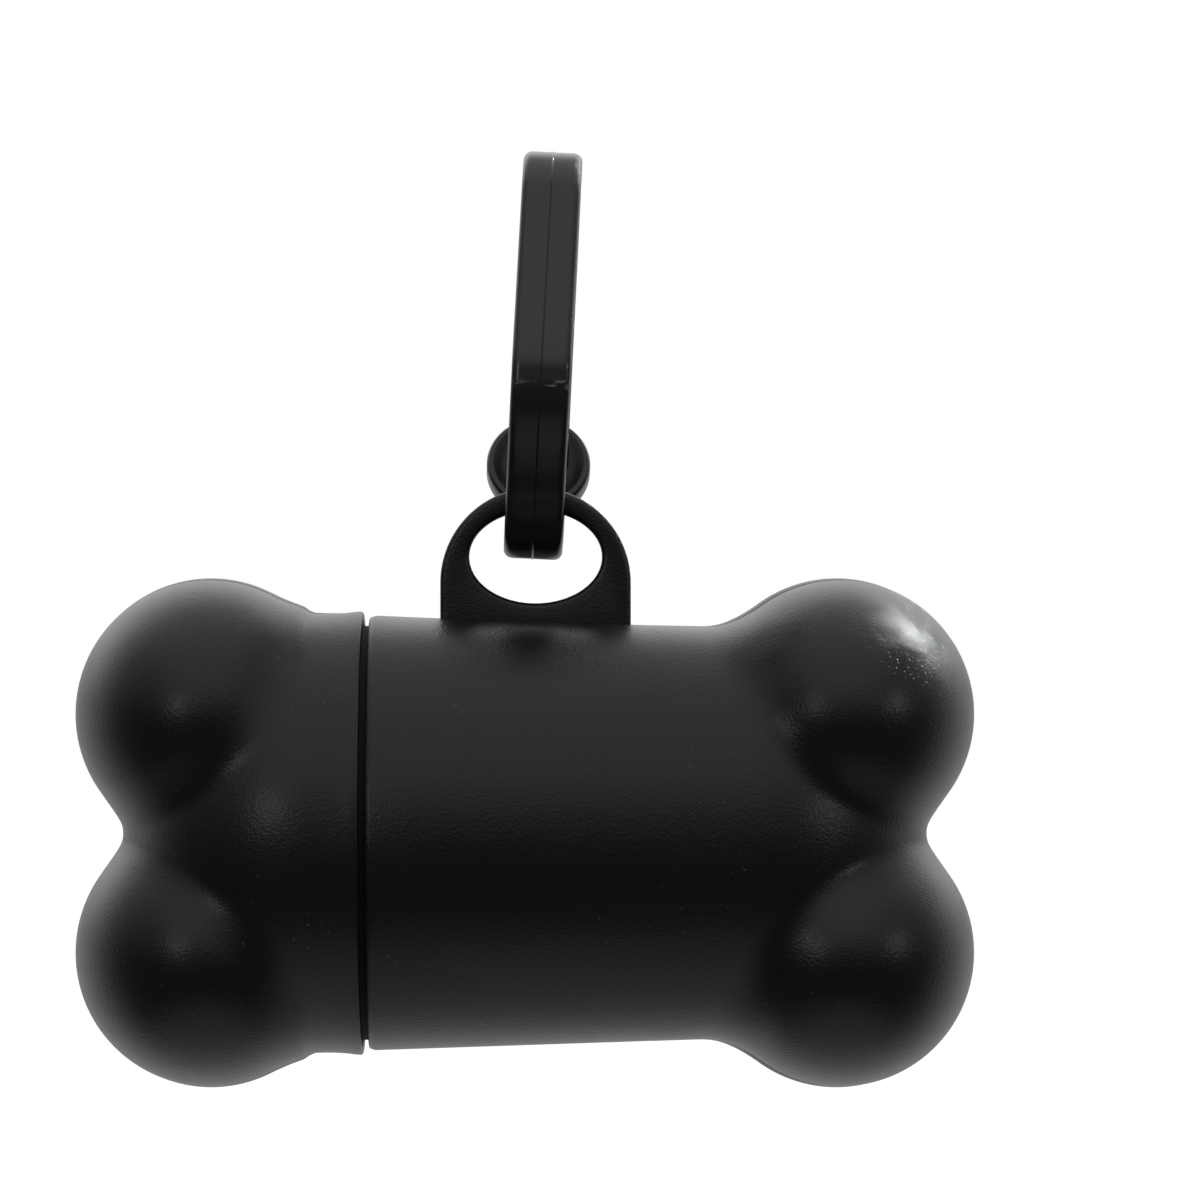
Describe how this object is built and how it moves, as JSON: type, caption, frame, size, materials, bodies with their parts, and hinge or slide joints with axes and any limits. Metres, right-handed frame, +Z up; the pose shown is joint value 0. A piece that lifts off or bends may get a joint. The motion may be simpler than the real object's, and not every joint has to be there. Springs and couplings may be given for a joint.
{
  "type": "dog poop bag dispenser",
  "caption": "Bone-shaped plastic case that holds a roll of dog waste bags, feeds them through a front opening and hangs from a lead by a snap hook.",
  "frame": {"origin": "inside of the snap hook's crown, where the lead's ring carries the hook, in the middle of the strap", "axes": "+X along the bone towards its closed end, +Y out of the bag opening, +Z up along the pull of the lead"},
  "size_m": [0.0851, 0.0831, 0.089],
  "materials": {
    "shell_plastic": "fine matte mould texture",
    "hook_plastic": "smoother, slightly glossy",
    "bag_film": "thin glossy film, creased where it is pulled out",
    "core_paper": "plain grey-brown board"
  },
  "bodies": {
    "hook": {"hook_frame": "hook_plastic"},
    "hook_arm": {"hook_arm": "hook_plastic"},
    "bone": {"front_shell": "shell_plastic", "rear_shell": "shell_plastic"},
    "cap": {"cap_front_shell": "shell_plastic", "cap_rear_shell": "shell_plastic"},
    "roll": {"bag_roll": "bag_film", "roll_core": "core_paper"},
    "bag": {"bag_end": "bag_film"}
  },
  "joints": [
    {"name": "bone_swing", "type": "hinge", "parent": "hook", "child": "bone", "pos_m": [-0.00153, -0.00464, -0.0302], "axis": [1, 0, 0], "range_deg": [-70, 50]},
    {"name": "arm_flex", "type": "hinge", "parent": "hook", "child": "hook_arm", "pos_m": [-0.00168, 0.00155, -0.03306], "axis": [0.9987, 0, -0.0506], "range_deg": [0, 44], "stiffness_Nm_per_rad": 0.05},
    {"name": "cap_pull", "type": "slide", "parent": "bone", "child": "cap", "axis": [-1, 0, 0], "range_m": [0, 0.03]},
    {"name": "bag_pull", "type": "slide", "parent": "bone", "child": "bag", "axis": [0, 1, 0], "range_m": [0, 0.008]},
    {"name": "roll_spin", "type": "hinge", "parent": "bone", "child": "roll", "pos_m": [-0.00253, -0.00594, -0.06545], "axis": [1, 0, 0], "range_deg": [0, 360]}
  ],
  "couplings": [
    {"joint": "roll_spin", "follows": "bag_pull", "rad_per_m": 68.966}
  ]
}
